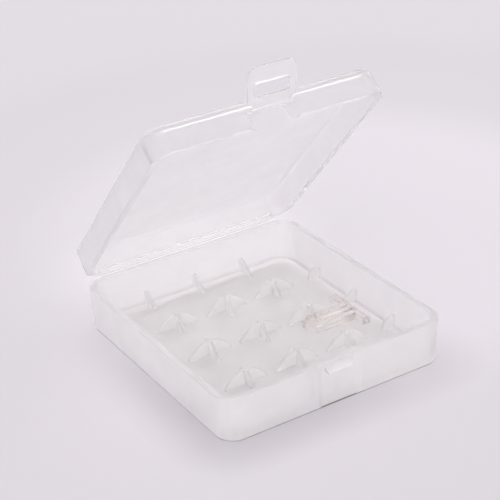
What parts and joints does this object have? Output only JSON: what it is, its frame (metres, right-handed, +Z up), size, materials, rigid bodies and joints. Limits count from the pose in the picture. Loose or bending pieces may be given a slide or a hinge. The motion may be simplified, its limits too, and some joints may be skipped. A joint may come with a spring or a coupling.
{
  "type": "battery storage box",
  "caption": "Shallow translucent box for cylindrical cells, with cross-shaped dividers, a lid on a bi-fold film hinge and a windowed latch flap.",
  "frame": {"origin": "middle of the flat underside of the base tray", "axes": "+Z up, +Y from the latch to the hinge, +X along the hinge to the right as seen from the latch"},
  "size_m": [0.072, 0.0862, 0.0886],
  "materials": {
    "tray": "smooth natural polypropylene, translucent",
    "lid": "smooth natural polypropylene, nearly clear",
    "film": "thin natural polypropylene",
    "clear": "polished clear plastic"
  },
  "bodies": {
    "base": {"base_tray": "tray", "clear_clip": "clear"},
    "strap": {"hinge_strap": "film"},
    "lid": {"lid_shell": "lid"},
    "latch": {"latch_flap": "film"}
  },
  "joints": [
    {"name": "strap_hinge", "type": "hinge", "parent": "base", "child": "strap", "pos_m": [0, 0.0405, 0.0134], "axis": [-1, 0, 0], "range_deg": [-23.5, 66.5]},
    {"name": "lid_hinge", "type": "hinge", "parent": "strap", "child": "lid", "pos_m": [0, 0.0411, 0.01478], "axis": [-1, 0, 0], "range_deg": [-23.5, 66.5]},
    {"name": "latch_hinge", "type": "hinge", "parent": "lid", "child": "latch", "pos_m": [0, -0.01191, 0.07617], "axis": [-1, 0, 0], "range_deg": [-125, 25]}
  ],
  "couplings": [
    {"joint": "strap_hinge", "follows": "lid_hinge", "ratio": 1}
  ]
}
